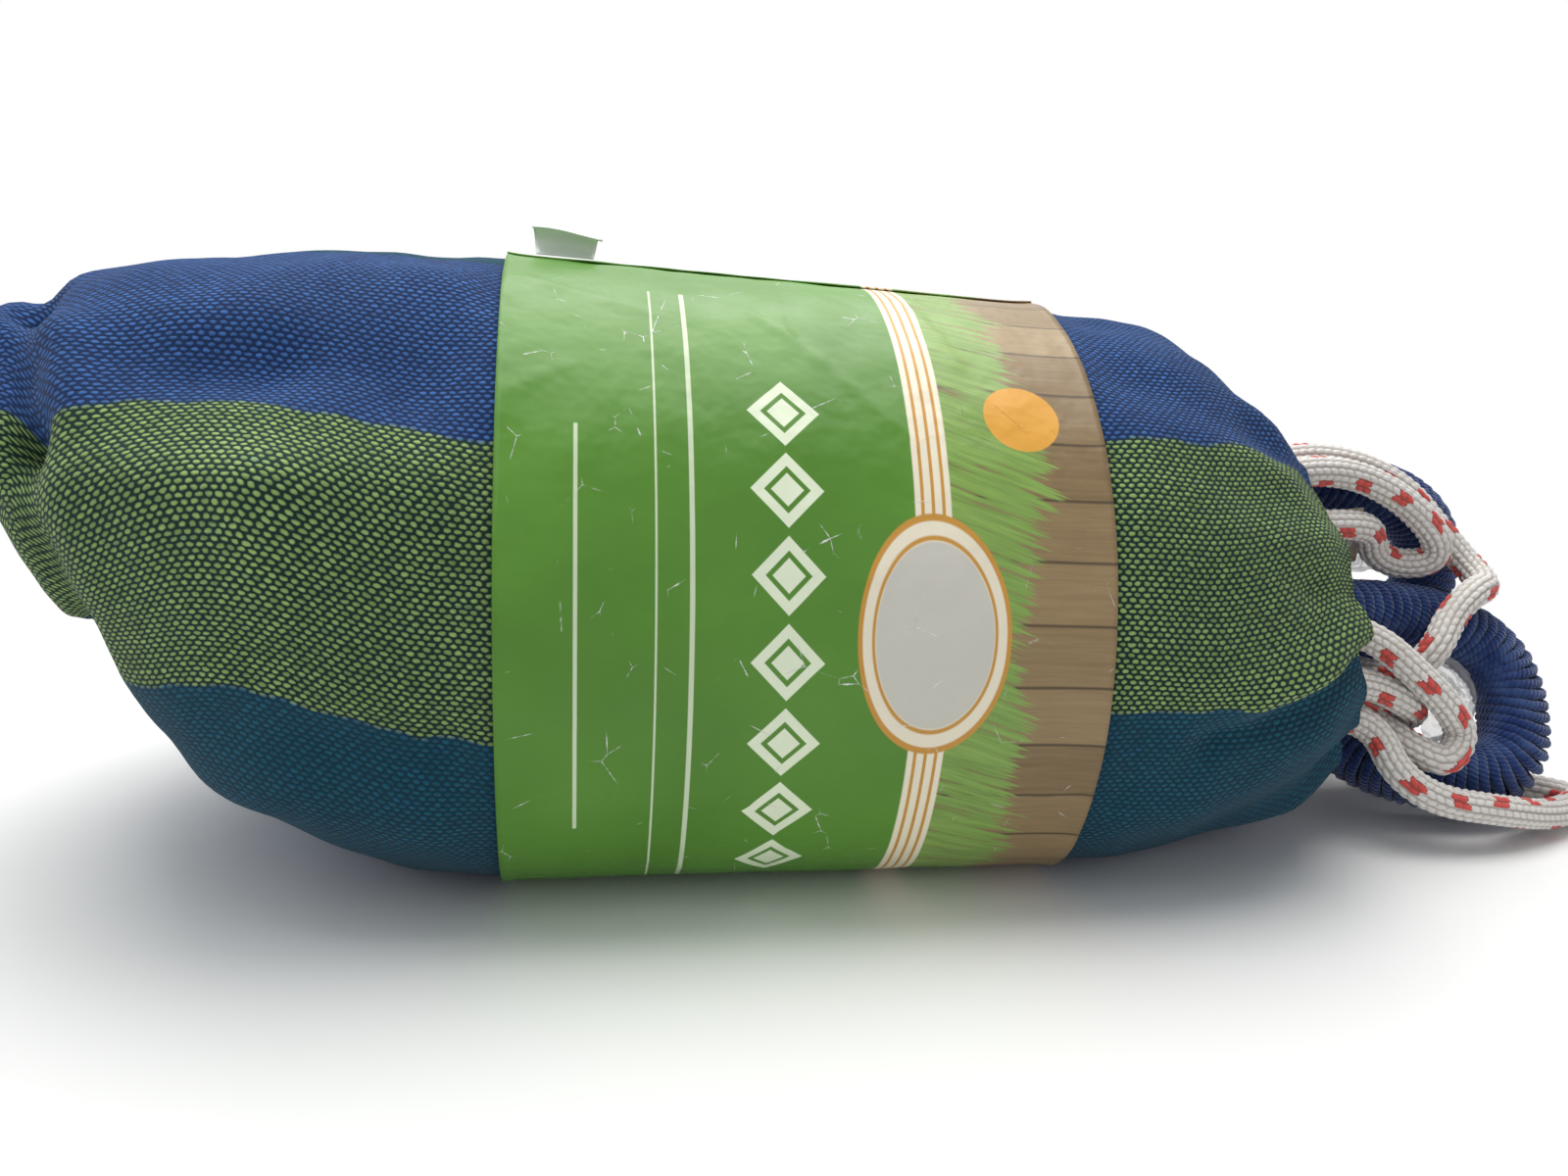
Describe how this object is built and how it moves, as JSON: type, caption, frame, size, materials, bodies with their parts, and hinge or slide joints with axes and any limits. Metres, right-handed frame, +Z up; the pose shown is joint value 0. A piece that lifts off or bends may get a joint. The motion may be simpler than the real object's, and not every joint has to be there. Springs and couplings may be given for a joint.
{
  "type": "packed rope hammock",
  "caption": "Striped cloth hammock packed in its own carry bag, with whipped rope eyes, white ropes and a card sleeve.",
  "frame": {"origin": "middle of the footprint of bag, sleeve and eyes on the floor, the free ropes left out", "axes": "+X along the bag towards its open mouth and the eyes, +Z up, the printed front faces -Y"},
  "size_m": [0.4011, 0.1536, 0.144],
  "materials": {
    "bag_cloth": "woven cotton in blue, green and teal stripes",
    "bed_cloth": "woven cotton, same stripes as the bag",
    "printed_card": "glossy coated card, creased and scuffed",
    "clew_cord": "twisted cotton cord",
    "whipping_cord": "blue cotton cord wound tight",
    "hanging_rope": "white braided rope with red flecks",
    "clear_film": "crumpled clear film",
    "leaflet_paper": "folded uncoated paper"
  },
  "bodies": {
    "root": {"carry_bag": "bag_cloth", "hammock_bed": "bed_cloth", "eye_core_front": "clew_cord", "eye_core_rear": "clew_cord", "eye_whipping_front": "whipping_cord", "eye_whipping_rear": "whipping_cord", "neck_seizing_front": "whipping_cord", "neck_seizing_rear": "whipping_cord", "clew_cords_front": "clew_cord", "clew_cords_rear": "clew_cord", "clear_film": "clear_film", "folded_leaflet": "leaflet_paper", "rope_upper_outer": "hanging_rope", "rope_upper_curl": "hanging_rope", "rope_front_loop": "hanging_rope", "rope_front_inner": "hanging_rope", "rope_floor_bight": "hanging_rope", "rope_hank_upper": "hanging_rope", "rope_hank_front": "hanging_rope", "rope_hank_lower": "hanging_rope"},
    "sleeve": {"label_sleeve": "printed_card"}
  },
  "joints": [
    {"name": "sleeve_slide", "type": "slide", "parent": "root", "child": "sleeve", "axis": [1, 0, 0], "range_m": [0, 0.3]}
  ]
}
